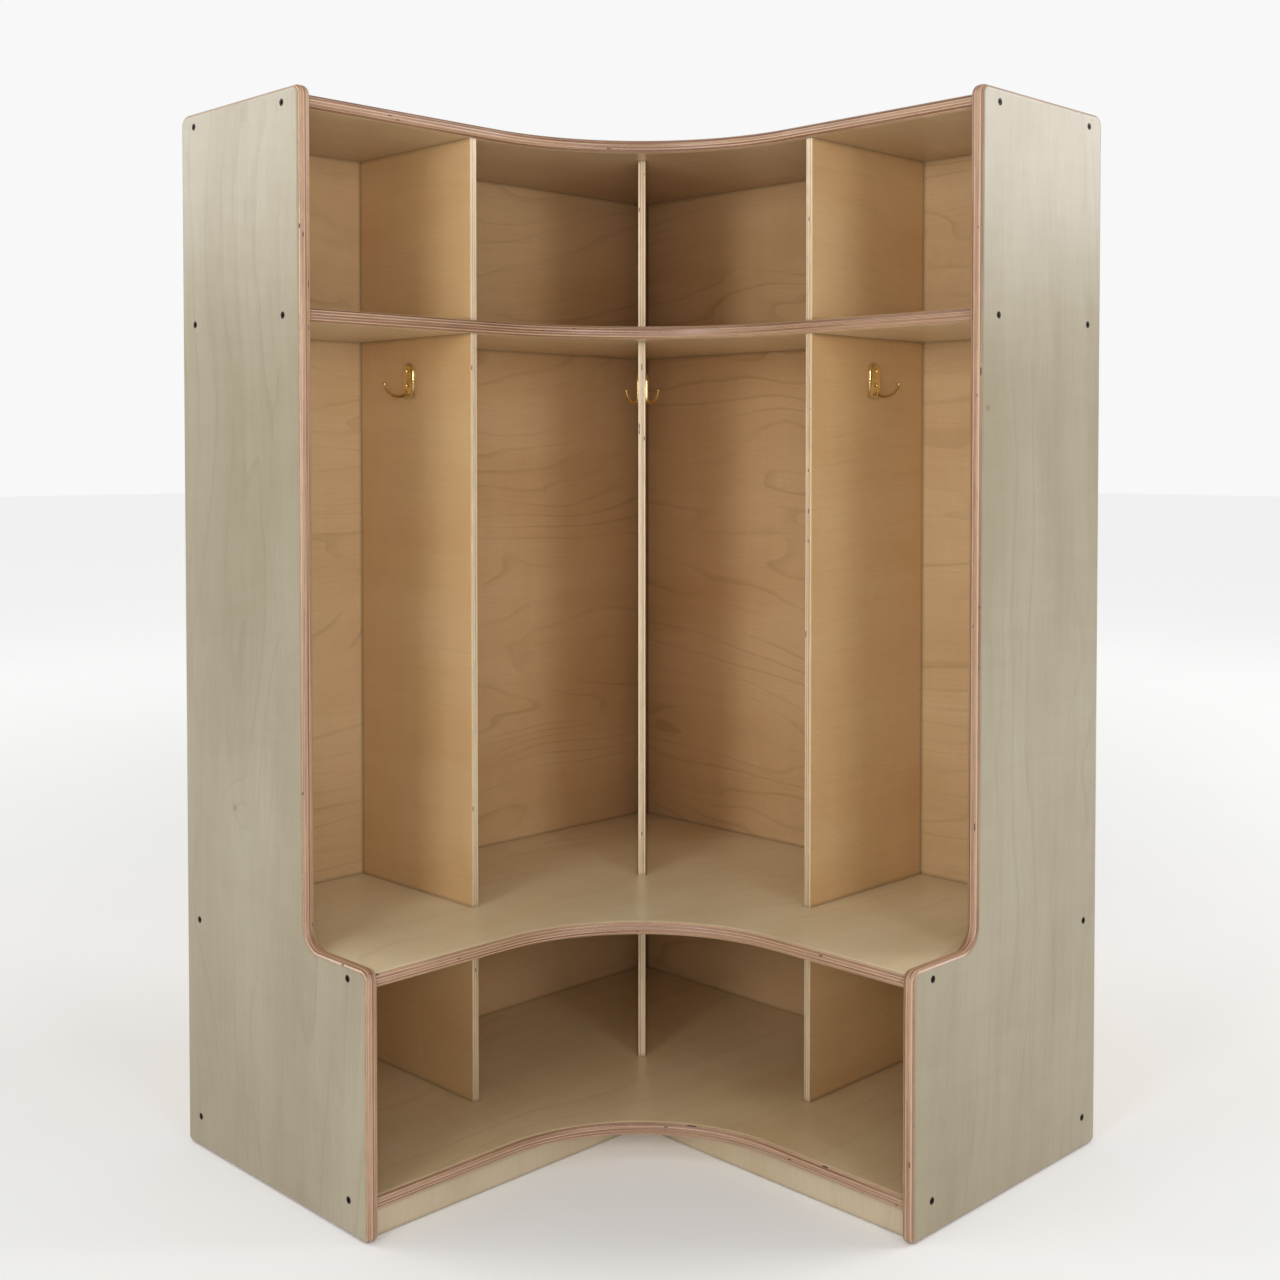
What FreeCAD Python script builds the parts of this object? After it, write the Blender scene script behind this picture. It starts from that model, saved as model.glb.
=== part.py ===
import FreeCAD, Part
import math
import os

# Corner coat locker in birch plywood, sized for small children.
# Two straight wings meet at a right angle in a room corner. Four L-shaped boards with a hollowed front
# carry nine dividers between two stepped side panels, and four brass hooks hang on the dividers.
#
# Millimetres, +Z up, origin under the middle of the footprint, floor at z = 0.
# The walls lie along x = -384 and y = +384. "Left" and "right" are as seen from the room.
# u is the distance from the left wing's wall, v the distance from the right wing's wall.

# Overall size
WING = 768.0
HALF = WING / 2
HEIGHT = 1219.0
PLY = 15.9
THIN_PLY = 9.5
BACK_INSET = 6.4
REAR = BACK_INSET + THIN_PLY
PANEL_INNER = WING - PLY

# Side panels
UPPER_DEPTH = 252.0
LOWER_DEPTH = 368.5
STEP_Z = 286.5
STEP_RADIUS = 25.4
CORNER_RADIUS = 12.7
FOOT_RADIUS = 8.0
EDGE_ROUND = 6.0

# Boards, by the height of their middle plane
TOP_Z = 1202.5
SHELF_Z = 972.7
BENCH_Z = 272.4
BOTTOM_Z = 37.6
SHORT_FRONT = 244.5
SHORT_HOLLOW = 240.0
LONG_FRONT = 363.5
LONG_HOLLOW = 207.0

# Dividers
SIDE_DIVIDER_OUTER = PANEL_INNER - 226.8
DIVIDER_FRONT = 240.0
CENTRE_REAR = 27.5
CENTRE_FRONT = 392.0
DADO = 3.0
DADO_STOP = 12.0
DIVIDER_EASE = 0.8

# Base boards
BASE_FRONT = 356.3
BASE_BACK = BASE_FRONT - PLY
BASE_TOP = BOTTOM_Z - PLY / 2
BASE_EASE = 0.8

# Panel screws
SCREW_REAR = 31.0
SCREW_BEHIND_FRONT = 34.0
PANEL_SCREW_LENGTH = 50.0
PANEL_SCREW_RADIUS = 2.5
PANEL_HEAD_RADIUS = 4.0
HEX_ACROSS_FLATS = 3.0
HEX_DEPTH = 1.6
HEAD_RIM = 0.5
HEAD_RECESS = 0.3
POINT_RADIUS = 0.2

# Back screws
BACK_SCREW_LENGTH = 40.0
BACK_SCREW_RADIUS = 2.0
BACK_HEAD_RADIUS = 4.0
BACK_CROSS = (4.6, 1.1, 1.6)
BACK_SCREW_FIRST = 90.0
BACK_SCREW_SPACING = 200.0
BACK_SCREW_COUNT = 4

# Coat hooks
HOOK_Z = 912.0
HOOK_DEPTH = 120.0
CENTRE_HOOK_DISTANCE = 205.0
CENTRE_HOOK_STAGGER = 8.0
PLATE_WIDTH = 20.0
PLATE_HEIGHT = 42.0
PLATE_THICKNESS = 3.5
PLATE_ROUND = 2.4
PRONG_TURN = 60.0
PRONG_ARC_RADIUS = 20.0
PRONG_ARC_OUT = 14.5
PRONG_ARC_UP = 1.0
PRONG_START = 243.0
PRONG_END = 348.5
PRONG_ROOT_RADIUS = 2.4
PRONG_TIP_RADIUS = 1.7
TIP_BALL_RADIUS = 2.5
NECK_RADIUS = 4.6
NECK_BASE = 1.0
HOOK_SCREWS_UP = (12.0, -5.6)
HOOK_SCREW_RADIUS = 1.5
HOOK_HEAD_RADIUS = 3.0
HOOK_SCREW_IN_WOOD = 6.0
HOOK_SCREW_POINT = 2.0
HOOK_HEAD_RISE = 1.1
HOOK_CROSS = (3.0, 0.7, 1.9)
HEAD_CLEARANCE = 0.2

# How far a cutting tool runs past the face it opens
OVERRUN = 1.0

UP = FreeCAD.Vector(0, 0, 1)
ORIGIN = FreeCAD.Vector(0, 0, 0)
ALONG_U = FreeCAD.Vector(1, 0, 0)
ALONG_V = FreeCAD.Vector(0, -1, 0)
DIAGONAL = FreeCAD.Vector(1, -1, 0).normalize()
ACROSS = FreeCAD.Vector(1, 1, 0).normalize()


def at(u, v, z=0.0):
    """The point u from the left wall plane and v from the right wall plane."""
    return FreeCAD.Vector(u - HALF, HALF - v, z)


def along_diagonal(distance, z=0.0):
    """The point that far from the rear corner on the line that halves the corner."""
    return at(0, 0, z) + DIAGONAL * distance


def mirrored(shape):
    """The same shape in the other wing."""
    return shape.mirror(ORIGIN, ACROSS)


def block(u0, u1, v0, v1, z0, z1):
    """A box between two limits on u, v and z."""
    return Part.makeBox(u1 - u0, v1 - v0, z1 - z0, at(u0, v1, z0))


def outline(corners, place):
    """A closed wire through corners (a, b, radius), every corner rounded, put in space by place(a, b)."""
    count = len(corners)
    starts = []
    middles = []
    ends = []
    for i in range(count):
        here = FreeCAD.Vector(corners[i][0], corners[i][1], 0)
        before = FreeCAD.Vector(corners[i - 1][0], corners[i - 1][1], 0)
        after = FreeCAD.Vector(corners[(i + 1) % count][0], corners[(i + 1) % count][1], 0)
        radius = corners[i][2]
        back = (before - here).normalize()
        forth = (after - here).normalize()
        half = back.getAngle(forth) / 2
        inward = (back + forth).normalize()
        starts.append(here + back * (radius / math.tan(half)))
        ends.append(here + forth * (radius / math.tan(half)))
        middles.append(here + inward * (radius / math.sin(half) - radius))
    edges = []
    for i in range(count):
        start = place(starts[i].x, starts[i].y)
        middle = place(middles[i].x, middles[i].y)
        end = place(ends[i].x, ends[i].y)
        after = starts[(i + 1) % count]
        if corners[i][2] > 0:
            edges.append(Part.Arc(start, middle, end).toShape())
        edges.append(Part.makeLine(end, place(after.x, after.y)))
    return Part.Wire(edges)


def turned(profile, base, axis):
    """A solid turned about a level axis through base, from (radius, distance along the axis) corners."""
    side = axis.cross(UP).normalize()
    points = [base + side * radius + axis * distance for radius, distance in profile]
    points.append(points[0])
    return Part.Face(Part.makePolygon(points)).revolve(base, axis, 360)


def rounded(solid, radius, wanted):
    """The solid with a fillet on every edge that wanted(edge) picks."""
    return solid.makeFillet(radius, [edge for edge in solid.Edges if wanted(edge)])


def flat_at(edge, z):
    """Whether an edge lies wholly at height z."""
    box = edge.BoundBox
    return abs(box.ZMin - z) < 0.01 and abs(box.ZMax - z) < 0.01


# Panel and back screws -------------------------------------------------------

def screw_body(base, axis, length, shank, head, top):
    """A countersunk screw pointing into the wood, its head's top that far along the axis from base."""
    rim = HEAD_RECESS + HEAD_RIM
    profile = [
        (0, top),
        (head, top),
        (head, rim),
        (shank, rim + head - shank),
        (shank, length - 2 * shank),
        (POINT_RADIUS, length),
        (0, length),
    ]
    return turned(profile, base, axis)


def panel_screw_body(base, axis, top):
    return screw_body(base, axis, PANEL_SCREW_LENGTH, PANEL_SCREW_RADIUS, PANEL_HEAD_RADIUS, top)


def back_screw_body(base, axis, top):
    return screw_body(base, axis, BACK_SCREW_LENGTH, BACK_SCREW_RADIUS, BACK_HEAD_RADIUS, top)


def panel_screw(base, axis):
    """A flush countersunk screw with a hexagon socket."""
    side = axis.cross(UP).normalize()
    corner = HEX_ACROSS_FLATS / math.sqrt(3)
    face = base + axis * HEAD_RECESS
    points = []
    for i in range(7):
        angle = math.radians(60 * i)
        points.append(face + side * (corner * math.cos(angle)) + UP * (corner * math.sin(angle)))
    socket = Part.Face(Part.makePolygon(points)).extrude(axis * HEX_DEPTH)
    return panel_screw_body(base, axis, HEAD_RECESS).cut(socket)


def cross_slots(centre, axis, length, width, depth):
    """Two crossed slots sunk into a head along axis."""
    side = axis.cross(UP).normalize()
    slots = []
    for long_way, short_way in ((side, UP), (UP, side)):
        a = long_way * (length / 2)
        b = short_way * (width / 2)
        corners = [centre + a + b, centre - a + b, centre - a - b, centre + a - b, centre + a + b]
        slots.append(Part.Face(Part.makePolygon(corners)).extrude(axis * depth))
    return slots[0].fuse(slots[1])


def back_screw(base, axis):
    """A countersunk wood screw with a cross recess."""
    recess = cross_slots(base + axis * HEAD_RECESS, axis, *BACK_CROSS)
    return back_screw_body(base, axis, HEAD_RECESS).cut(recess)


def panel_screw_places():
    """Where the left side panel's screws enter: (base point, axis)."""
    places = []
    levels = ((TOP_Z, UPPER_DEPTH), (SHELF_Z, UPPER_DEPTH), (BENCH_Z, LOWER_DEPTH), (BOTTOM_Z, LOWER_DEPTH))
    for z, front in levels:
        for u in (SCREW_REAR, front - SCREW_BEHIND_FRONT):
            places.append((at(u, WING, z), -ALONG_V))
    return places


def back_screw_places():
    """Where the left back panel's screws enter: (base point, axis)."""
    places = []
    for z in (TOP_Z, SHELF_Z, BENCH_Z, BOTTOM_Z):
        for i in range(BACK_SCREW_COUNT):
            v = BACK_SCREW_FIRST + i * BACK_SCREW_SPACING
            places.append((at(BACK_INSET, v, z), ALONG_U))
    return places


PANEL_HOLES = [panel_screw_body(base, axis, -OVERRUN) for base, axis in panel_screw_places()]
BACK_HOLES = [back_screw_body(base, axis, -OVERRUN) for base, axis in back_screw_places()]


# Side and back panels --------------------------------------------------------

def side_panel():
    """The stepped left side panel, its whole outline rounded over on both faces."""
    corners = [
        (0, 0, FOOT_RADIUS),
        (LOWER_DEPTH, 0, FOOT_RADIUS),
        (LOWER_DEPTH, STEP_Z, CORNER_RADIUS),
        (UPPER_DEPTH, STEP_Z, STEP_RADIUS),
        (UPPER_DEPTH, HEIGHT, CORNER_RADIUS),
        (0, HEIGHT, CORNER_RADIUS),
    ]
    wire = outline(corners, lambda u, z: at(u, WING, z))
    solid = Part.Face(wire).extrude(-ALONG_V * PLY)
    solid = rounded(solid, EDGE_ROUND, lambda edge: edge.BoundBox.YLength < 0.01)
    for hole in PANEL_HOLES:
        solid = solid.cut(hole)
    return solid


def back_panel_left():
    """The left wing's back, which butts against the right wing's back."""
    solid = block(BACK_INSET, REAR, REAR, PANEL_INNER, 0, TOP_Z + PLY / 2)
    for hole in BACK_HOLES:
        solid = solid.cut(hole)
    return solid


def back_panel_right():
    """The right wing's back, which runs right into the corner."""
    solid = block(BACK_INSET, PANEL_INNER, BACK_INSET, REAR, 0, TOP_Z + PLY / 2)
    for hole in BACK_HOLES:
        solid = solid.cut(mirrored(hole))
    return solid


# Dividers --------------------------------------------------------------------

def side_divider(low, high):
    """The left divider between two boards, with a tongue at each end that stops short of the front."""
    inner = SIDE_DIVIDER_OUTER - THIN_PLY
    body = block(REAR, DIVIDER_FRONT, inner, SIDE_DIVIDER_OUTER, low, high)
    body = rounded(body, DIVIDER_EASE, front_upright)
    tongue = block(REAR, DIVIDER_FRONT - DADO_STOP, inner, SIDE_DIVIDER_OUTER, low - DADO, high + DADO)
    return body.fuse(tongue).removeSplitter()


def front_upright(edge):
    """Whether an upright edge of the left divider stands at its front."""
    box = edge.BoundBox
    return box.XLength < 0.01 and box.ZLength > 50 and box.XMin > DIVIDER_FRONT - HALF - 0.01


def centre_block(near, far, low, high):
    """A divider-thick block along the diagonal, between two distances from the corner."""
    start = along_diagonal(near, low) - ACROSS * (THIN_PLY / 2)
    length = DIAGONAL * (far - near)
    width = ACROSS * THIN_PLY
    corners = [start, start + length, start + length + width, start + width, start]
    return Part.Face(Part.makePolygon(corners)).extrude(UP * (high - low))


def centre_divider(low, high):
    """The divider on the diagonal, with the same stopped tongues."""
    limit = along_diagonal(CENTRE_FRONT - OVERRUN)

    def wanted(edge):
        upright = edge.BoundBox.ZLength > 50 and edge.BoundBox.XLength < 0.01
        return upright and (edge.CenterOfMass - limit).dot(DIAGONAL) > 0

    body = rounded(centre_block(CENTRE_REAR, CENTRE_FRONT, low, high), DIVIDER_EASE, wanted)
    tongue = centre_block(CENTRE_REAR, CENTRE_FRONT - DADO_STOP, low - DADO, high + DADO)
    return body.fuse(tongue).removeSplitter()


def dadoes(low, high):
    """The three grooves that take divider ends between two heights."""
    inner = SIDE_DIVIDER_OUTER - THIN_PLY
    side = block(REAR, DIVIDER_FRONT - DADO_STOP, inner, SIDE_DIVIDER_OUTER, low, high)
    centre = centre_block(CENTRE_REAR, CENTRE_FRONT - DADO_STOP, low, high)
    return [side, mirrored(side), centre]


# Boards ----------------------------------------------------------------------

def board(middle, front, hollow, groove_above, groove_below):
    """An L-shaped board whose straight fronts run into a hollow quarter circle."""
    low = middle - PLY / 2
    high = middle + PLY / 2
    corners = [
        (REAR, REAR, 0),
        (PANEL_INNER, REAR, 0),
        (PANEL_INNER, front, 0),
        (front, front, hollow),
        (front, PANEL_INNER, 0),
        (REAR, PANEL_INNER, 0),
    ]
    wire = outline(corners, lambda u, v: at(u, v, low))
    solid = Part.Face(wire).extrude(UP * PLY)

    def wanted(edge):
        u = edge.CenterOfMass.x + HALF
        v = HALF - edge.CenterOfMass.y
        inside = min(u, v) > REAR + OVERRUN and max(u, v) < PANEL_INNER - OVERRUN
        return inside and (flat_at(edge, low) or flat_at(edge, high))

    solid = rounded(solid, EDGE_ROUND, wanted)
    if groove_above:
        for groove in dadoes(high - DADO, high + OVERRUN):
            solid = solid.cut(groove)
    if groove_below:
        for groove in dadoes(low - OVERRUN, low + DADO):
            solid = solid.cut(groove)
    for hole in PANEL_HOLES + BACK_HOLES:
        solid = solid.cut(hole)
        solid = solid.cut(mirrored(hole))
    return solid


def base_board_left():
    """The left toe board, which runs through to the inner corner."""
    solid = block(BASE_BACK, BASE_FRONT, BASE_BACK, PANEL_INNER, 0, BASE_TOP)
    return solid.makeFillet(BASE_EASE, solid.Edges)


def base_board_right():
    """The right toe board, which butts against the left one."""
    solid = block(BASE_FRONT, PANEL_INNER, BASE_BACK, BASE_FRONT, 0, BASE_TOP)
    return solid.makeFillet(BASE_EASE, solid.Edges)


# Coat hooks ------------------------------------------------------------------

def hook_places():
    """Each hook's name, the middle of its plate on the divider, and the direction out of the wood."""
    left = at(HOOK_DEPTH, SIDE_DIVIDER_OUTER, HOOK_Z)
    right = at(SIDE_DIVIDER_OUTER, HOOK_DEPTH, HOOK_Z)
    face = ACROSS * (THIN_PLY / 2)
    near = along_diagonal(CENTRE_HOOK_DISTANCE - CENTRE_HOOK_STAGGER, HOOK_Z)
    far = along_diagonal(CENTRE_HOOK_DISTANCE + CENTRE_HOOK_STAGGER, HOOK_Z)
    return [
        ("coat_hook_left", left, ALONG_V),
        ("coat_hook_centre_left", near - face, -ACROSS),
        ("coat_hook_centre_right", far + face, ACROSS),
        ("coat_hook_right", right, ALONG_U),
    ]


def hook_screw_body(base, axis):
    """A hook screw up to the plate's face; axis points out of the wood."""
    profile = [
        (0, -HOOK_SCREW_IN_WOOD),
        (POINT_RADIUS, -HOOK_SCREW_IN_WOOD),
        (HOOK_SCREW_RADIUS, HOOK_SCREW_POINT - HOOK_SCREW_IN_WOOD),
        (HOOK_SCREW_RADIUS, PLATE_THICKNESS - HOOK_HEAD_RADIUS + HOOK_SCREW_RADIUS),
        (HOOK_HEAD_RADIUS, PLATE_THICKNESS),
        (0, PLATE_THICKNESS),
    ]
    return turned(profile, base, axis)


def hook_screw(base, axis):
    """A raised countersunk screw with a cross recess."""
    sphere_radius = (HOOK_HEAD_RADIUS ** 2 + HOOK_HEAD_RISE ** 2) / (2 * HOOK_HEAD_RISE)
    centre = base + axis * (PLATE_THICKNESS + HOOK_HEAD_RISE - sphere_radius)
    above = Part.makeCylinder(HOOK_HEAD_RADIUS, HOOK_HEAD_RISE + OVERRUN, base + axis * PLATE_THICKNESS, axis)
    dome = Part.makeSphere(sphere_radius, centre).common(above)
    recess = cross_slots(base + axis * (PLATE_THICKNESS + HOOK_HEAD_RISE + OVERRUN), -axis, *HOOK_CROSS)
    return hook_screw_body(base, axis).fuse(dome).removeSplitter().cut(recess)


def hook_screw_bases(middle):
    return [middle + UP * up for up in HOOK_SCREWS_UP]


def hook_plate(middle, axis):
    """The oval plate with a softly rounded face."""
    side = axis.cross(UP).normalize()
    radius = PLATE_WIDTH / 2
    straight = PLATE_HEIGHT / 2 - radius
    top = middle + UP * straight
    foot = middle - UP * straight
    upper = Part.Arc(top + side * radius, top + UP * radius, top - side * radius).toShape()
    lower = Part.Arc(foot - side * radius, foot - UP * radius, foot + side * radius).toShape()
    first = Part.makeLine(top - side * radius, foot - side * radius)
    second = Part.makeLine(foot + side * radius, top + side * radius)
    plate = Part.Face(Part.Wire([upper, first, lower, second])).extrude(axis * PLATE_THICKNESS)
    level = (middle + axis * PLATE_THICKNESS).dot(axis)
    return rounded(plate, PLATE_ROUND, lambda edge: abs(edge.CenterOfMass.dot(axis) - level) < 0.01)


def prong(middle, axis, turn):
    """A round prong that dips away from the plate and turns up to a ball."""
    out = FreeCAD.Rotation(UP, turn).multVec(axis)
    centre = middle + out * PRONG_ARC_OUT + UP * PRONG_ARC_UP

    def on_arc(degrees):
        angle = math.radians(degrees)
        return centre + out * (PRONG_ARC_RADIUS * math.cos(angle)) + UP * (PRONG_ARC_RADIUS * math.sin(angle))

    def tangent(degrees):
        angle = math.radians(degrees)
        return out * -math.sin(angle) + UP * math.cos(angle)

    start = on_arc(PRONG_START)
    end = on_arc(PRONG_END)
    path = Part.Wire(Part.Arc(start, on_arc((PRONG_START + PRONG_END) / 2), end).toShape())
    root = Part.Wire(Part.Circle(start, tangent(PRONG_START), PRONG_ROOT_RADIUS).toShape())
    tip = Part.Wire(Part.Circle(end, tangent(PRONG_END), PRONG_TIP_RADIUS).toShape())
    pipe = Part.BRepOffsetAPI.MakePipeShell(path)
    pipe.add(root)
    pipe.add(tip)
    pipe.build()
    pipe.makeSolid()
    return pipe.shape().fuse(Part.makeSphere(TIP_BALL_RADIUS, end))


def coat_hook(middle, axis):
    """A double hook: oval plate, a short neck and two prongs turned away from each other."""
    solid = hook_plate(middle, axis)
    root = middle + UP * (PRONG_ARC_UP + PRONG_ARC_RADIUS * math.sin(math.radians(PRONG_START)))
    solid = solid.fuse(Part.makeSphere(NECK_RADIUS, root + axis * NECK_BASE, axis, 0, 90, 360))
    for turn in (-PRONG_TURN, PRONG_TURN):
        solid = solid.fuse(prong(middle, axis, turn))
    for base in hook_screw_bases(middle):
        face = base + axis * PLATE_THICKNESS
        above = Part.makeCylinder(HOOK_HEAD_RADIUS + HEAD_CLEARANCE, HOOK_HEAD_RISE + OVERRUN, face, axis)
        solid = solid.cut(hook_screw_body(base, axis)).cut(above)
    return solid.removeSplitter()


def drilled(divider, names):
    """A divider with the pilot holes of the hooks it carries."""
    for name, middle, axis in hook_places():
        if name in names:
            for base in hook_screw_bases(middle):
                divider = divider.cut(hook_screw_body(base, axis))
    return divider


# Assembly --------------------------------------------------------------------

def write(name, shape):
    """Writes one named piece, or one group of like screws, as a STEP file."""
    if not shape.isValid():
        raise ValueError(name + " isn't a valid shape")
    shape.exportStep("parts/" + name + ".step")


def main():
    os.makedirs("parts", exist_ok=True)
    top = TOP_Z - PLY / 2
    shelf_low = SHELF_Z - PLY / 2
    shelf_high = SHELF_Z + PLY / 2
    bench_low = BENCH_Z - PLY / 2
    bench_high = BENCH_Z + PLY / 2
    bottom = BOTTOM_Z + PLY / 2

    panel = side_panel()
    write("side_panel_left", panel)
    write("side_panel_right", mirrored(panel))
    write("back_panel_left", back_panel_left())
    write("back_panel_right", back_panel_right())

    write("top_board", board(TOP_Z, SHORT_FRONT, SHORT_HOLLOW, False, True))
    write("upper_shelf", board(SHELF_Z, SHORT_FRONT, SHORT_HOLLOW, True, True))
    write("bench_seat", board(BENCH_Z, LONG_FRONT, LONG_HOLLOW, True, True))
    write("bottom_shelf", board(BOTTOM_Z, LONG_FRONT, LONG_HOLLOW, True, False))

    tiers = (("upper", shelf_high, top), ("locker", bench_high, shelf_low), ("lower", bottom, bench_low))
    for tier, low, high in tiers:
        left = side_divider(low, high)
        right = mirrored(left)
        centre = centre_divider(low, high)
        if tier == "locker":
            left = drilled(left, ["coat_hook_left"])
            right = drilled(right, ["coat_hook_right"])
            centre = drilled(centre, ["coat_hook_centre_left", "coat_hook_centre_right"])
        write(tier + "_divider_left", left)
        write(tier + "_divider_centre", centre)
        write(tier + "_divider_right", right)

    write("base_board_left", base_board_left())
    write("base_board_right", base_board_right())

    hook_screws = []
    for name, middle, axis in hook_places():
        write(name, coat_hook(middle, axis))
        for base in hook_screw_bases(middle):
            hook_screws.append(hook_screw(base, axis))
    write("hook_screws", Part.makeCompound(hook_screws))

    panel_screws = [panel_screw(base, axis) for base, axis in panel_screw_places()]
    write("panel_screws_left", Part.makeCompound(panel_screws))
    write("panel_screws_right", Part.makeCompound([mirrored(screw) for screw in panel_screws]))
    back_screws = [back_screw(base, axis) for base, axis in back_screw_places()]
    write("back_screws_left", Part.makeCompound(back_screws))
    write("back_screws_right", Part.makeCompound([mirrored(screw) for screw in back_screws]))


main()
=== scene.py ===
import bpy
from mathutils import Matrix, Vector


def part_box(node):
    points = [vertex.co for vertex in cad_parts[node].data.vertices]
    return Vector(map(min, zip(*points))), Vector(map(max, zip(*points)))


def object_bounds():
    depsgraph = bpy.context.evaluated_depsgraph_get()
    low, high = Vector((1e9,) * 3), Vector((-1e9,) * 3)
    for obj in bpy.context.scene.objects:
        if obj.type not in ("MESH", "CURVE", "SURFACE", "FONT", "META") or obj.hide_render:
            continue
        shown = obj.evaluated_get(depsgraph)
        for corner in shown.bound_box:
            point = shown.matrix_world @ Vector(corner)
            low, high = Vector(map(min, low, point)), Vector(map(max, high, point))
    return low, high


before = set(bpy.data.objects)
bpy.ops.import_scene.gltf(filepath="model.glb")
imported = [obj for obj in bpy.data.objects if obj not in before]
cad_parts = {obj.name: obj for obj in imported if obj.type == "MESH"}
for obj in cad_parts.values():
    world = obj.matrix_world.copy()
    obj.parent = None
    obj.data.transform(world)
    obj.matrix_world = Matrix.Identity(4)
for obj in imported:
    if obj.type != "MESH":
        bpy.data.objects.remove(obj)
CAD_LOW, CAD_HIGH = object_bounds()

# Directions. The walls are towards -X and +Y, and the room is towards FRONT.
X = Vector((1, 0, 0))
Y = Vector((0, 1, 0))
Z = Vector((0, 0, 1))
FRONT = Vector((1, -1, 0)).normalized()
ACROSS = Vector((1, 1, 0)).normalized()


def colour(red, green, blue):
    """A scene-linear colour from display values of 0 to 255."""
    values = []
    for part in (red, green, blue):
        part = part / 255
        values.append(part / 12.92 if part <= 0.04045 else ((part + 0.055) / 1.055) ** 2.4)
    return (*values, 1.0)


# Plywood: how it is built up, in metres
VENEER = 0.0007
VENEER_BLUR = 0.06
THICK_PLIES = 11
THIN_PLIES = 7

# Shifts that give each sheet, face, ply and glue line a part of the textures of its own
SEED_ALONG = 3.71
SEED_ACROSS = 1.37
SEED_SHEET = 5.7
FACE_STEP = 9.1
PLY_STEP = 3.17
GLUE_STEP = 0.37

# Face veneer. A pitch is how many features come per metre along the grain, per metre across it,
# and per step from one sheet of veneer to the next.
WANDER_PER_METRE = 2.3
WANDER_ALONG = 0.16
WANDER_ACROSS = 0.075
FIGURE_PITCH = (1.15, 4.2, 1.0)
WAVER_PITCH = (7.0, 26.0, 1.0)
RING_BREAK_PITCH = (3.0, 11.0, 1.3)
FIBRE_PITCH = (13.0, 430.0, 1.0)
PORE_PITCH = (75.0, 1500.0, 1.0)
RIPPLE_PITCH = (46.0, 7.0, 1.0)
CLOUD_PITCH = (3.2, 8.5, 1.0)
STRIPE_PITCH = (1.1, 42.0, 1.0)
KNOT_PITCH = (2.1, 3.4, 1.0)

# What moves the veneer between its warm colour and its pale one
CLOUD_TONE = 1.1
STRIPE_TONE = 0.28
FIBRE_TONE = 0.50
RIPPLE_TONE = 0.22
MIDDLE_TONE = 0.5

# Growth rings. A pair is for a plain sheet and for a strongly figured one, and a span is a part of one ring.
RINGS_IN_FIGURE = (8.0, 16.0)
RING_DARK = (0.02, 0.15)
RINGS_PER_METRE = 24.0
RING_WAVER = 0.35
RING_TURN_AT_KNOT = 1.3
RING_RISE = (0.74, 0.95)
RING_FALL = (0.965, 1.0)
RING_BREAK = (0.36, 0.66)
PORE_SPAN = (0.60, 0.72)
PORE_DARK = 0.14
SHADE_GREEN = 1.15
SHADE_BLUE = 1.4

# Knots. Spans are in the units of KNOT_PITCH, of which a sheet's own knot has KNOT_SIZE to the metre.
KNOT_SIZE = 3.0
KNOT_PULL = (0.0, 0.16)
KNOT_SPAN = (0.004, 0.014)
KNOT_DARK = 0.8
KNOT_BROWN = colour(138, 94, 54)
HALO_SPAN = (0.010, 0.045)
HALO_WARM = 0.35

# Inner plies. Spans are parts of one ply's thickness, and tones move it from its pale colour to its dark one.
STREAK_PITCH = (22.0, 700.0, 2300.0)
STREAK_STEP = 7.0
DRIFT_PITCH = (5.0, 5.0, 1.0)
END_GRAIN_SPAN = (0.15, 0.85)
END_GRAIN_TONE = 0.42
PLY_TONE = 0.50
STREAK_TONE = 0.9
DRIFT_TONE = 0.9
LEAST_TONE = 0.16
GLUE_PITCH = (40.0, 40.0, 1.0)
GLUE_PATCHES = (0.30, 0.62)
GLUE_LEAST_PATCH = 0.35
GLUE_LEAST_LINE = 0.45
GLUE_SPAN = (0.03, 0.22)
GLUE_BROWN = colour(62, 38, 28)
# Voids in the core plies: dented, and painted dark as painted shade inside the hollow
GAP_PITCH = (52.0, 52.0, 7.0)
GAP_CHANCE = (0.735, 0.76)
GAP_SPAN = (0.08, 0.25)
GAP_SHADE = 0.92

# Painted shade in the joints and corners, darkened where an occlusion test finds other surfaces near
JOINT_SHADE_REACH = 0.005
JOINT_SHADE_SPAN = (0.50, 0.82)
JOINT_SHADE_DARK = 0.55
JOINT_SHADE_BROWN = colour(70, 48, 32)

# Roughness and relief of the faces and of the inner plies
FACE_ROUGHNESS = 0.27
FIBRE_ROUGHNESS = 0.10
PORE_ROUGHNESS = 0.12
PLY_ROUGHNESS = 0.26
STREAK_ROUGHNESS = 0.16
GAP_ROUGHNESS = 0.3
FIBRE_HEIGHT = 0.5
RING_DEPTH = 0.25
STREAK_HEIGHT = 1.2
GLUE_DEPTH = 1.2
GAP_DEPTH = 4.0

# Lacquer
WOOD_IOR = 1.48
COAT_WEIGHT = 0.25
COAT_ROUGHNESS = 0.30
WOOD_BUMP = 0.35
WOOD_RELIEF = 0.00012

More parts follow.
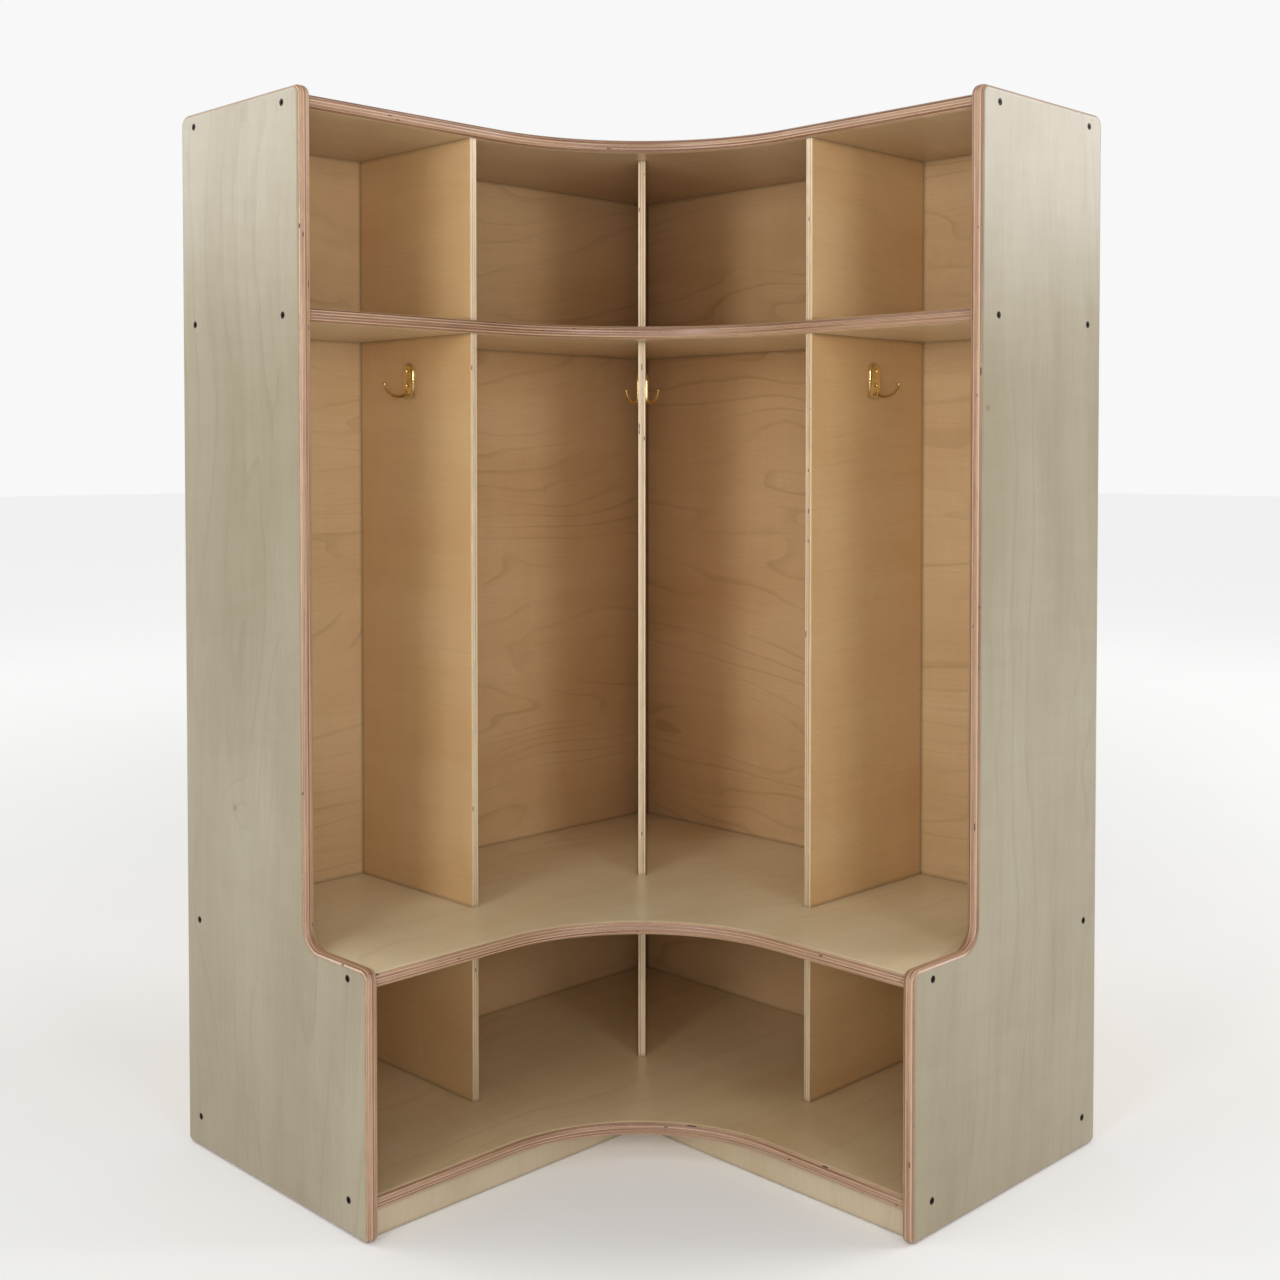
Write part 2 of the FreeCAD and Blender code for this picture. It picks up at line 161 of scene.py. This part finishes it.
# Each sheet's pale colour, warm colour and strength of figure. All are one birch plywood, so the colours
# differ partly by random tone and partly as painted light and shade: the outer panels and the lid, seen from
# below, are darker as painted shade, and the bench is paler as painted light from above.
LOOKS = {
    # Painted shade: the outer panels are darker than the sheets inside the bays
    "panel": (colour(172, 162, 138), colour(149, 135, 107), 0.5),
    "back": (colour(230, 198, 153), colour(212, 174, 126), 1.0),
    # Painted shade: the lid, whose underside is seen, is darker than the shelf and the bench
    "lid": (colour(206, 182, 146), colour(184, 152, 112), 0.3),
    "shelf": (colour(226, 204, 168), colour(206, 178, 134), 0.3),
    # Painted light: the bench top is paler, as if lit from above
    "bench": (colour(238, 224, 192), colour(220, 200, 158), 0.45),
    "tray": (colour(230, 206, 168), colour(210, 180, 136), 0.4),
    "divider": (colour(233, 198, 148), colour(218, 175, 122), 0.05),
    "base": (colour(212, 196, 167), colour(196, 176, 142), 0.2),
}

# Ply edges, pale and dark
EDGES = (colour(208, 170, 137), colour(124, 80, 58))
DIVIDER_EDGES = (colour(244, 226, 194), colour(206, 168, 128))

# The knot on a side panel's outer face, as shares of the sides of the panel's box
KNOTS = {
    "side_panel_left": (0.304, 0.0, 0.343),
    "side_panel_right": (1.0, 0.354, 0.715),
}
NO_KNOT = Vector((0.0, 0.0, -9.0))

# Metal
METAL_BUMP = 0.12
METAL_RELIEF = 0.00008
MARK_PITCH = (900.0, 900.0, 9000.0)
MARK_HEIGHT = 0.4
MARK_ROUGHNESS = 0.08
CLOUD_ROUGHNESS = 0.10
TARNISH_SPAN = (0.42, 0.75)

# Floor, room and boxes of light, with their powers in watts
FLOOR_HALF = 30.0
FLOOR_DROP = 0.0005
FLOOR_COLOURS = (colour(246, 246, 245), colour(250, 250, 249))
FLOOR_MOTTLE_PITCH = (3.0, 3.0, 3.0)
FLOOR_ROUGHNESS = 0.85
FLOOR_GLOW_NEAR = 0.10
FLOOR_GLOW = 0.46
FLOOR_GLOW_FROM = 0.8
FLOOR_GLOW_TO = 5.0
WHITE = (1.0, 1.0, 1.0, 1.0)
ROOM_LIGHT = 0.44
ROOM_SEEN = 0.94
AIM_HEIGHT = 0.61
FRONT_BOX = 0.6
OVER_BOX = 0.7
REAR_BOX = 2.2

# Camera
CAMERA_PLACE = Vector((1.3590, -1.3452, 0.8209))
CAMERA_FORWARD = Vector((-0.70917, 0.70450, -0.02738))
CAMERA_LENS = 45.41
CAMERA_SENSOR = 36.0
CAMERA_SHIFT = (-0.0032, -0.1101)
CAMERA_FAR = 100.0


# Node trees ------------------------------------------------------------------

class Graph:
    """Short ways to add nodes to one node tree and link them."""

    def __init__(self, tree):
        self.tree = tree
        tree.nodes.clear()

    def feed(self, socket, value):
        if isinstance(value, bpy.types.NodeSocket):
            self.tree.links.new(value, socket)
        else:
            socket.default_value = value

    def node(self, kind, *values, **settings):
        """A node with its settings made and its inputs fed in order."""
        node = self.tree.nodes.new(kind)
        for name, value in settings.items():
            setattr(node, name, value)
        for socket, value in zip(node.inputs, values):
            self.feed(socket, value)
        return node

    def math(self, operation, *values):
        return self.node("ShaderNodeMath", *values, operation=operation).outputs[0]

    def centred(self, value):
        """A noise of 0 to 1, centred on nought."""
        return self.math("SUBTRACT", value, 0.5)

    def dot(self, a, b):
        return self.node("ShaderNodeVectorMath", a, b, operation="DOT_PRODUCT").outputs["Value"]

    def pack(self, x, y, z):
        return self.node("ShaderNodeCombineXYZ", x, y, z).outputs[0]

    def scaled(self, a, b, c, by):
        """A place in a texture, each coordinate scaled by its own number."""
        parts = [self.math("MULTIPLY", value, factor) for value, factor in zip((a, b, c), by)]
        return self.pack(*parts)

    def noise(self, place, detail=2.0, rough=0.5, warp=0.0):
        node = self.node("ShaderNodeTexNoise")
        self.feed(node.inputs["Vector"], place)
        self.feed(node.inputs["Scale"], 1.0)
        self.feed(node.inputs["Detail"], detail)
        self.feed(node.inputs["Roughness"], rough)
        self.feed(node.inputs["Distortion"], warp)
        return node.outputs["Fac"]

    def chance(self, key):
        """A random number for each key."""
        node = self.node("ShaderNodeTexWhiteNoise", noise_dimensions="1D")
        self.feed(node.inputs["W"], key)
        return node.outputs["Value"]

    def fade(self, value, start, end, low=0.0, high=1.0):
        """Eases from low to high as value goes from start to end."""
        node = self.node(
            "ShaderNodeMapRange", value, start, end, low, high, interpolation_type="SMOOTHSTEP"
        )
        return node.outputs[0]

    def blend(self, factor, a, b, mode="MIX"):
        node = self.node("ShaderNodeMix", data_type="RGBA", blend_type=mode)
        self.feed(node.inputs[0], factor)
        self.feed(node.inputs[6], a)
        self.feed(node.inputs[7], b)
        return node.outputs[2]

    def mix(self, factor, a, b):
        """The number between a and b at factor."""
        node = self.node("ShaderNodeMix", data_type="FLOAT")
        self.feed(node.inputs[0], factor)
        self.feed(node.inputs[2], a)
        self.feed(node.inputs[3], b)
        return node.outputs[0]

    def total(self, *values):
        result = values[0]
        for value in values[1:]:
            result = self.math("ADD", result, value)
        return result

    def product(self, *values):
        result = values[0]
        for value in values[1:]:
            result = self.math("MULTIPLY", result, value)
        return result

    def streaks(self, along, across, depth, ply, by):
        """Fibre streaks in one ply, which the ply's number moves along the grain."""
        first = self.total(self.math("MULTIPLY", along, by[0]), self.math("MULTIPLY", ply, STREAK_STEP))
        place = self.pack(first, self.math("MULTIPLY", across, by[1]), self.math("MULTIPLY", depth, by[2]))
        return self.noise(place, 3.0, 0.6)


# Plywood ---------------------------------------------------------------------

PLYWOOD_INPUTS = (
    ("Grain", "Vector"),
    ("Cross", "Vector"),
    ("Through", "Vector"),
    ("Middle", "Float"),
    ("Thickness", "Float"),
    ("Plies", "Float"),
    ("Seed", "Float"),
    ("Figure", "Float"),
    ("Knot", "Vector"),
    ("Pale", "Color"),
    ("Warm", "Color"),
    ("Ply Pale", "Color"),
    ("Ply Dark", "Color"),
)


def grain_place(g, place, given):
    """How far along and across the grain a place is. The grain wanders, so no figure runs dead straight."""
    seed = given["Seed"]
    wander = g.node("ShaderNodeTexNoise", noise_dimensions="4D")
    g.feed(wander.inputs["Vector"], place)
    g.feed(wander.inputs["W"], seed)
    g.feed(wander.inputs["Scale"], WANDER_PER_METRE)
    g.feed(wander.inputs["Detail"], 1.5)
    drift = g.node("ShaderNodeSeparateColor", wander.outputs["Color"]).outputs
    along = g.total(
        g.dot(place, given["Grain"]), g.product(seed, SEED_ALONG), g.product(drift[0], WANDER_ALONG)
    )
    across = g.total(
        g.dot(place, given["Cross"]), g.product(seed, SEED_ACROSS), g.product(drift[1], WANDER_ACROSS)
    )
    return along, across


def knots(g, place, veneer_place, given):
    """Distance to the nearest knot, either a chance one or the sheet's own."""
    cells = g.node("ShaderNodeTexVoronoi", voronoi_dimensions="3D")
    g.feed(cells.inputs["Vector"], g.scaled(*veneer_place, KNOT_PITCH))
    g.feed(cells.inputs["Scale"], 1.0)
    own = g.node("ShaderNodeVectorMath", place, given["Knot"], operation="DISTANCE").outputs["Value"]
    return g.math("MINIMUM", cells.outputs["Distance"], g.product(own, KNOT_SIZE))


def growth_rings(g, veneer_place, knot_near, given):
    """The dark lines where the peeled veneer cuts the growth rings, and how dark each one is."""
    pull = g.fade(knot_near, *KNOT_PULL, 1.0, 0.0)
    figure = g.noise(g.scaled(*veneer_place, FIGURE_PITCH), 3.0, 0.42, 0.35)
    waver = g.noise(g.scaled(*veneer_place, WAVER_PITCH), 2.0, 0.5)
    phase = g.total(
        g.product(figure, g.mix(given["Figure"], *RINGS_IN_FIGURE)),
        g.product(veneer_place[1], RINGS_PER_METRE),
        g.product(waver, RING_WAVER),
        g.product(pull, RING_TURN_AT_KNOT),
    )
    ring = g.math("FRACT", phase)
    line = g.math("MULTIPLY", g.fade(ring, *RING_RISE), g.fade(ring, *RING_FALL, 1.0, 0.0))
    broken = g.fade(g.noise(g.scaled(*veneer_place, RING_BREAK_PITCH), 2.0), *RING_BREAK)
    return line, g.product(line, broken, g.mix(given["Figure"], *RING_DARK))


def face_veneer(g, place, along, across, depth, given):
    """Colour, roughness and height of the rotary-cut veneer. Each face has its own sheet of it."""
    sheet = g.total(
        g.product(g.math("SIGN", depth), FACE_STEP), g.product(given["Seed"], SEED_SHEET)
    )
    veneer_place = (along, across, sheet)
    knot_near = knots(g, place, veneer_place, given)
    ring_line, ring_dark = growth_rings(g, veneer_place, knot_near, given)
    fibre = g.noise(g.scaled(*veneer_place, FIBRE_PITCH), 4.0, 0.62)
    pores = g.fade(g.noise(g.scaled(*veneer_place, PORE_PITCH), 2.0, 0.6), *PORE_SPAN)
    ripple = g.noise(g.scaled(*veneer_place, RIPPLE_PITCH), 2.0, 0.5, 0.6)
    cloud = g.noise(g.scaled(*veneer_place, CLOUD_PITCH), 3.0, 0.5)
    stripe = g.noise(g.scaled(*veneer_place, STRIPE_PITCH), 3.0, 0.55)
    tone = g.total(
        g.product(g.centred(cloud), CLOUD_TONE),
        g.product(g.centred(stripe), STRIPE_TONE),
        g.product(g.centred(fibre), FIBRE_TONE),
        g.product(g.centred(ripple), RIPPLE_TONE),
        MIDDLE_TONE,
    )
    wood_colour = g.blend(g.fade(tone, 0.0, 1.0), given["Warm"], given["Pale"])
    shade = g.math("SUBTRACT", 1.0, g.total(ring_dark, g.product(pores, PORE_DARK)))
    tint = g.pack(shade, g.math("POWER", shade, SHADE_GREEN), g.math("POWER", shade, SHADE_BLUE))
    wood_colour = g.blend(1.0, wood_colour, tint, "MULTIPLY")
    knot = g.product(g.fade(knot_near, *KNOT_SPAN, 1.0, 0.0), KNOT_DARK)
    wood_colour = g.blend(knot, wood_colour, KNOT_BROWN)
    halo = g.product(g.fade(knot_near, *HALO_SPAN, 1.0, 0.0), HALO_WARM)
    wood_colour = g.blend(halo, wood_colour, given["Warm"])
    rough = g.total(g.product(fibre, FIBRE_ROUGHNESS), g.product(pores, PORE_ROUGHNESS), FACE_ROUGHNESS)
    dents = g.total(pores, g.product(ring_line, RING_DEPTH))
    height = g.math("SUBTRACT", g.product(fibre, FIBRE_HEIGHT), dents)
    return wood_colour, rough, height


def inner_plies(g, along, across, depth, given):
    """Colour, roughness and height of the plies, counted through the sheet.

    Odd ones run across the face grain.
    """
    normal = g.node("ShaderNodeNewGeometry").outputs["Normal"]
    seed = given["Seed"]
    half = g.product(given["Thickness"], 0.5)
    core = g.math("SUBTRACT", given["Plies"], 2.0)
    core_thickness = g.math("SUBTRACT", given["Thickness"], 2 * VENEER)
    into = g.math("DIVIDE", g.total(depth, half, -VENEER), core_thickness)
    counted = g.total(g.product(into, core), 1.0)
    ply = g.math("FLOOR", counted)
    within = g.math("FRACT", counted)
    crossed = g.math("PINGPONG", ply, 1.0)
    ply_along = g.mix(crossed, along, across)
    ply_across = g.mix(crossed, across, along)
    facing = g.mix(crossed, g.dot(normal, given["Grain"]), g.dot(normal, given["Cross"]))
    end_grain = g.math("ABSOLUTE", facing)
    ply_seed = g.total(g.product(ply, PLY_STEP), seed)
    streak = g.streaks(ply_along, ply_across, depth, ply_seed, STREAK_PITCH)
    drift = g.noise(g.scaled(ply_along, ply_across, ply_seed, DRIFT_PITCH), 2.0, 0.5)
    dark = g.total(
        g.product(g.fade(end_grain, *END_GRAIN_SPAN), END_GRAIN_TONE),
        g.product(g.centred(g.chance(ply_seed)), PLY_TONE),
        g.product(g.centred(streak), STREAK_TONE),
        g.product(g.centred(drift), DRIFT_TONE),
        LEAST_TONE,
    )
    ply_colour = g.blend(g.fade(dark, 0.0, 1.0), given["Ply Pale"], given["Ply Dark"])

    edge_near = g.math("MINIMUM", within, g.math("SUBTRACT", 1.0, within))
    patches = g.noise(g.scaled(along, across, ply_seed, GLUE_PITCH), 2.0)
    patchy = g.fade(patches, *GLUE_PATCHES, GLUE_LEAST_PATCH, 1.0)
    line_key = g.total(g.math("ROUND", counted), seed, GLUE_STEP)
    force = g.mix(g.chance(line_key), GLUE_LEAST_LINE, 1.0)
    glue = g.product(g.fade(edge_near, *GLUE_SPAN, 1.0, 0.0), patchy, force)
    # Painted shade: a void is painted dark brown for the shade inside its hollow, as well as dented
    hollow = g.noise(g.scaled(along, across, ply_seed, GAP_PITCH), 1.0, 0.4)
    gap = g.product(g.fade(hollow, *GAP_CHANCE), g.fade(edge_near, *GAP_SPAN), crossed)
    ply_colour = g.blend(g.math("MAXIMUM", glue, g.product(gap, GAP_SHADE)), ply_colour, GLUE_BROWN)
    rough = g.total(g.product(streak, STREAK_ROUGHNESS), g.product(gap, GAP_ROUGHNESS), PLY_ROUGHNESS)
    dents = g.total(g.product(glue, GLUE_DEPTH), g.product(gap, GAP_DEPTH))
    height = g.math("SUBTRACT", g.product(streak, STREAK_HEIGHT), dents)
    return ply_colour, rough, height


def plywood_group():
    """Birch plywood as a solid: a rotary-cut veneer on both faces, and plies of crossed grain between them.

    Every board is cut out of this solid, so its rounded edges show the plies at their true widths.
    """
    tree = bpy.data.node_groups.new("birch_plywood", "ShaderNodeTree")
    for name, kind in PLYWOOD_INPUTS:
        tree.interface.new_socket(name, in_out="INPUT", socket_type="NodeSocket" + kind)
    tree.interface.new_socket("Color", in_out="OUTPUT", socket_type="NodeSocketColor")
    tree.interface.new_socket("Roughness", in_out="OUTPUT", socket_type="NodeSocketFloat")
    tree.interface.new_socket("Height", in_out="OUTPUT", socket_type="NodeSocketFloat")
    g = Graph(tree)
    given = g.node("NodeGroupInput").outputs
    place = g.node("ShaderNodeTexCoord").outputs["Object"]
    along, across = grain_place(g, place, given)
    depth = g.math("SUBTRACT", g.dot(place, given["Through"]), given["Middle"])
    face_colour, face_rough, face_height = face_veneer(g, place, along, across, depth, given)
    ply_colour, ply_rough, ply_height = inner_plies(g, along, across, depth, given)

    half = g.product(given["Thickness"], 0.5)
    veneer_start = g.math("SUBTRACT", half, VENEER * (1 + VENEER_BLUR))
    veneer_end = g.math("SUBTRACT", half, VENEER * (1 - VENEER_BLUR))
    on_face = g.fade(g.math("ABSOLUTE", depth), veneer_start, veneer_end)
    unshaded = g.blend(on_face, ply_colour, face_colour)
    # Painted shade: the colour turns brown where the occlusion test finds surfaces within reach, in joints
    # and corners
    corner = g.node("ShaderNodeAmbientOcclusion", samples=3)
    g.feed(corner.inputs["Distance"], JOINT_SHADE_REACH)
    joint_shade = g.product(g.fade(corner.outputs["AO"], *JOINT_SHADE_SPAN, 1.0, 0.0), JOINT_SHADE_DARK)
    out = g.node("NodeGroupOutput")
    g.feed(out.inputs["Color"], g.blend(joint_shade, unshaded, JOINT_SHADE_BROWN))
    g.feed(out.inputs["Roughness"], g.mix(on_face, ply_rough, face_rough))
    g.feed(out.inputs["Height"], g.mix(on_face, ply_height, face_height))
    return tree


PLYWOOD = plywood_group()


def new_material(name):
    """A material with a bare Principled shader, and its graph."""
    material = bpy.data.materials.new(name)
    material.use_nodes = True
    graph = Graph(material.node_tree)
    shader = graph.node("ShaderNodeBsdfPrincipled")
    output = graph.node("ShaderNodeOutputMaterial")
    graph.feed(output.inputs["Surface"], shader.outputs["BSDF"])
    return material, graph, shader


def relief(graph, shader, height, strength, distance):
    """Fine bumps of this height map on a shader."""
    bump = graph.node("ShaderNodeBump")
    bump.inputs["Strength"].default_value = strength
    bump.inputs["Distance"].default_value = distance
    graph.feed(bump.inputs["Height"], height)
    graph.feed(shader.inputs["Normal"], bump.outputs["Normal"])


def assign(node, material):
    """Shows one CAD node in this material."""
    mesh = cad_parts[node].data
    mesh.materials.clear()
    mesh.materials.append(material)


def plane_of(node, through):
    """Where a sheet's middle plane is along its thickness direction, and how thick the sheet is."""
    points = [vertex.co.dot(through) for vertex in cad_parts[node].data.vertices]
    return (min(points) + max(points)) / 2, max(points) - min(points)


def own_knot(node):
    """Where a sheet's own knot is, which is far away for a sheet that has none."""
    if node not in KNOTS:
        return NO_KNOT
    low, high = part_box(node)
    return Vector([a + (b - a) * share for a, b, share in zip(low, high, KNOTS[node])])


def wood(node, look, grain, through, plies, seed, edges=EDGES):
    """Gives one sheet its own piece of birch plywood."""
    pale, warm, figure = LOOKS[look]
    plane, thickness = plane_of(node, through)
    material, graph, shader = new_material("birch_" + node)
    group = graph.node("ShaderNodeGroup", node_tree=PLYWOOD)
    given = {
        "Grain": grain,
        "Cross": through.cross(grain),
        "Through": through,
        "Middle": plane,
        "Thickness": thickness,
        "Plies": plies,
        "Seed": seed,
        "Figure": figure,
        "Knot": own_knot(node),
        "Pale": pale,
        "Warm": warm,
        "Ply Pale": edges[0],
        "Ply Dark": edges[1],
    }
    for name, value in given.items():
        group.inputs[name].default_value = value
    graph.feed(shader.inputs["Base Color"], group.outputs["Color"])
    graph.feed(shader.inputs["Roughness"], group.outputs["Roughness"])
    relief(graph, shader, group.outputs["Height"], WOOD_BUMP, WOOD_RELIEF)
    shader.inputs["IOR"].default_value = WOOD_IOR
    shader.inputs["Coat Weight"].default_value = COAT_WEIGHT
    shader.inputs["Coat Roughness"].default_value = COAT_ROUGHNESS
    assign(node, material)


# Each L-shaped board's node, look, grain direction and thickness direction
BOARDS = (
    ("top_board", "lid", Y, Z),
    ("upper_shelf", "shelf", Y, Z),
    ("bench_seat", "bench", Y, Z),
    ("bottom_shelf", "tray", Y, Z),
)
DIVIDER_SIDES = (("left", X, Y), ("centre", FRONT, ACROSS), ("right", Y, X))
FIRST_BOARD = 5.0
FIRST_DIVIDER = 10.0

wood("side_panel_left", "panel", Z, Y, THICK_PLIES, 1.0)
wood("side_panel_right", "panel", Z, X, THICK_PLIES, 2.0)
wood("back_panel_left", "back", Y, X, THIN_PLIES, 3.0)
wood("back_panel_right", "back", X, Y, THIN_PLIES, 4.0)
for number, (board, look, grain, through) in enumerate(BOARDS):
    wood(board, look, grain, through, THICK_PLIES, FIRST_BOARD + number)
for row, tier in enumerate(("upper", "locker", "lower")):
    for order, (side, grain, through) in enumerate(DIVIDER_SIDES):
        seed = FIRST_DIVIDER + len(DIVIDER_SIDES) * row + order
        wood(f"{tier}_divider_{side}", "divider", grain, through, THIN_PLIES, seed, DIVIDER_EDGES)
wood("base_board_left", "base", Z, X, THICK_PLIES, 20.0)
wood("base_board_right", "base", Z, Y, THICK_PLIES, 21.0)


# Metal -----------------------------------------------------------------------

def metal(name, tint, tarnish, roughness, clouds_per_metre):
    """A metal with soft clouds of tarnish, fine polishing marks and small dents."""
    material, graph, shader = new_material(name)
    place = graph.node("ShaderNodeTexCoord").outputs["Object"]
    parts = graph.node("ShaderNodeSeparateXYZ", place).outputs
    clouds = graph.noise(graph.scaled(*parts, (clouds_per_metre,) * 3), 4.0, 0.6)
    marks = graph.noise(graph.scaled(*parts, MARK_PITCH), 2.0, 0.6)
    graph.feed(shader.inputs["Base Color"], graph.blend(graph.fade(clouds, *TARNISH_SPAN), tint, tarnish))
    even = roughness - (CLOUD_ROUGHNESS + MARK_ROUGHNESS) / 2
    rough = graph.total(graph.product(clouds, CLOUD_ROUGHNESS), graph.product(marks, MARK_ROUGHNESS), even)
    graph.feed(shader.inputs["Roughness"], rough)
    relief(graph, shader, graph.total(clouds, graph.product(marks, MARK_HEIGHT)), METAL_BUMP, METAL_RELIEF)
    shader.inputs["Metallic"].default_value = 1.0
    return material


BRASS = metal("brass_plate", colour(240, 218, 162), colour(206, 176, 110), 0.14, 140.0)
BLACK = metal("black_oxide", colour(46, 40, 34), colour(26, 22, 20), 0.46, 500.0)
ZINC = metal("bright_zinc", colour(196, 194, 188), colour(160, 158, 150), 0.34, 300.0)

for place_on_unit in ("left", "centre_left", "centre_right", "right"):
    assign("coat_hook_" + place_on_unit, BRASS)
assign("hook_screws", BRASS)
for side in ("left", "right"):
    assign("panel_screws_" + side, BLACK)
    assign("back_screws_" + side, ZINC)


# Floor, light and camera -----------------------------------------------------

def make_floor():
    """A wide pale floor, which glows a little further off, where the boxes of light don't reach."""
    mesh = bpy.data.meshes.new("floor")
    corners = [(x * FLOOR_HALF, y * FLOOR_HALF, 0) for x, y in ((-1, -1), (1, -1), (1, 1), (-1, 1))]
    mesh.from_pydata(corners, [], [(0, 1, 2, 3)])
    floor = bpy.data.objects.new("floor", mesh)
    bpy.context.collection.objects.link(floor)
    floor.location.z = CAD_LOW.z - FLOOR_DROP
    material, graph, shader = new_material("floor_paper")
    place = graph.node("ShaderNodeTexCoord").outputs["Object"]
    parts = graph.node("ShaderNodeSeparateXYZ", place).outputs
    mottle = graph.noise(graph.scaled(*parts, FLOOR_MOTTLE_PITCH), 3.0)
    graph.feed(shader.inputs["Base Color"], graph.blend(mottle, *FLOOR_COLOURS))
    shader.inputs["Roughness"].default_value = FLOOR_ROUGHNESS
    away = graph.node("ShaderNodeVectorMath", place, operation="LENGTH").outputs["Value"]
    shader.inputs["Emission Color"].default_value = WHITE
    glow = graph.fade(away, FLOOR_GLOW_FROM, FLOOR_GLOW_TO, FLOOR_GLOW_NEAR, FLOOR_GLOW)
    graph.feed(shader.inputs["Emission Strength"], glow)
    mesh.materials.append(material)


def make_world():
    """Even light from all round, seen by the camera as a paler wall."""
    world = bpy.data.worlds.new("studio")
    world.use_nodes = True
    graph = Graph(world.node_tree)
    seen = graph.node("ShaderNodeLightPath").outputs["Is Camera Ray"]
    background = graph.node("ShaderNodeBackground")
    background.inputs["Color"].default_value = WHITE
    graph.feed(background.inputs["Strength"], graph.mix(seen, ROOM_LIGHT, ROOM_SEEN))
    output = graph.node("ShaderNodeOutputWorld")
    graph.feed(output.inputs["Surface"], background.outputs["Background"])
    bpy.context.scene.world = world


def area_light(name, place, target, size, power):
    """A soft square box at place, facing target."""
    light = bpy.data.lights.new(name, "AREA")
    light.shape = "SQUARE"
    light.size = size
    light.energy = power
    lamp = bpy.data.objects.new(name, light)
    lamp.location = place
    lamp.rotation_mode = "QUATERNION"
    lamp.rotation_quaternion = (target - place).to_track_quat("-Z", "Y")
    lamp.visible_camera = False
    bpy.context.collection.objects.link(lamp)


def make_lights():
    """Boxes at the front for the bays, and boxes behind that skim the outer faces near the top."""
    middle = (CAD_LOW + CAD_HIGH) / 2
    middle.z = AIM_HEIGHT
    left_face = Vector((-0.2, CAD_LOW.y, 1.0))
    right_face = Vector((CAD_HIGH.x, 0.2, 1.0))
    area_light("front_left", FRONT * 2.3 - ACROSS * 1.3 + Z * 1.3, middle, FRONT_BOX, 12.5)
    area_light("front_right", FRONT * 2.3 + ACROSS * 1.3 + Z * 1.3, middle, FRONT_BOX, 9.0)
    area_light("front_low", FRONT * 2.6 + Z * 0.9, middle, FRONT_BOX, 6.0)
    area_light("over_left", Vector((-0.15, -1.15, 1.9)), left_face, OVER_BOX, 2.5)
    area_light("rear_left", Vector((-3.1, -2.2, 2.5)), left_face, REAR_BOX, 40.0)
    area_light("rear_right", Vector((2.2, 3.1, 2.5)), right_face, REAR_BOX, 67.0)


def make_camera():
    """A camera at the photograph's viewing angle."""
    camera = bpy.data.cameras.new("camera")
    camera.lens = CAMERA_LENS
    camera.sensor_width = CAMERA_SENSOR
    camera.shift_x, camera.shift_y = CAMERA_SHIFT
    camera.clip_end = CAMERA_FAR
    holder = bpy.data.objects.new("camera", camera)
    holder.location = CAMERA_PLACE
    holder.rotation_mode = "QUATERNION"
    holder.rotation_quaternion = CAMERA_FORWARD.to_track_quat("-Z", "Y")
    bpy.context.collection.objects.link(holder)
    bpy.context.scene.camera = holder


make_floor()
make_world()
make_lights()
make_camera()
bpy.context.scene.view_settings.view_transform = "Standard"
